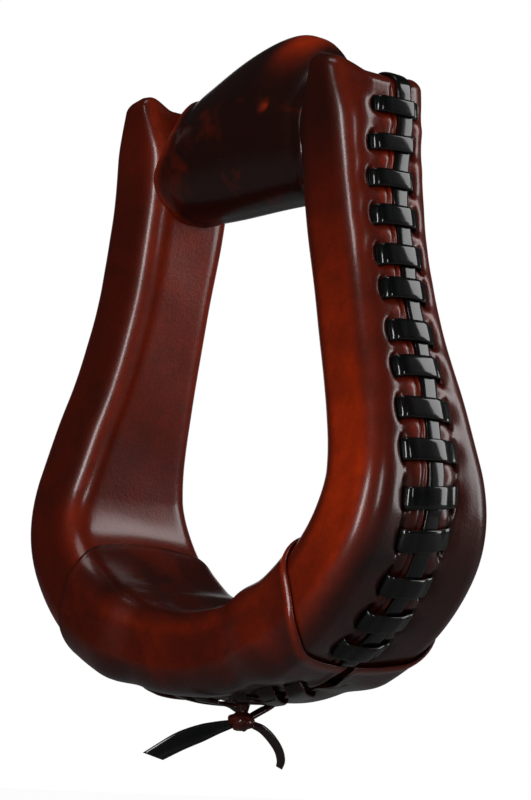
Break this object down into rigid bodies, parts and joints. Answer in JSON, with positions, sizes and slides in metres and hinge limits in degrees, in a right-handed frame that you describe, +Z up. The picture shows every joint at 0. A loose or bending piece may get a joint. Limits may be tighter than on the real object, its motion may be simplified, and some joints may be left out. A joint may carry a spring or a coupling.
{
  "type": "leather laced stirrup",
  "caption": "Riding stirrup of bent wood with a bolted neck, dressed in red-brown leather that is whipped together with black lace along the sides and tied under the tread.",
  "frame": {"origin": "middle of the neck's flat underside, where the stirrup leather carries the stirrup", "axes": "+X across to the right branch, +Y to the back, +Z up to the crown of the neck"},
  "size_m": [0.1734, 0.0652, 0.2382],
  "materials": {
    "cover_leather": "worn, waxed, half gloss",
    "lace_leather": "dyed black, half gloss",
    "wood": "sanded, bare",
    "steel": "zinc plated"
  },
  "bodies": {
    "root": {"wood_frame": "wood", "neck_block": "wood", "neck_bolt": "steel", "bolt_washer_left": "steel", "bolt_washer_right": "steel", "neck_nut": "steel", "left_cover": "cover_leather", "right_cover": "cover_leather", "neck_cover": "cover_leather", "tread_cover": "cover_leather", "left_runner": "lace_leather", "right_runner": "lace_leather", "left_lacing": "lace_leather", "right_lacing": "lace_leather", "tread_lace_left": "lace_leather", "tread_lace_right": "lace_leather", "tread_knot": "lace_leather", "lace_tail_long": "lace_leather", "lace_tail_short": "lace_leather"}
  },
  "joints": []
}
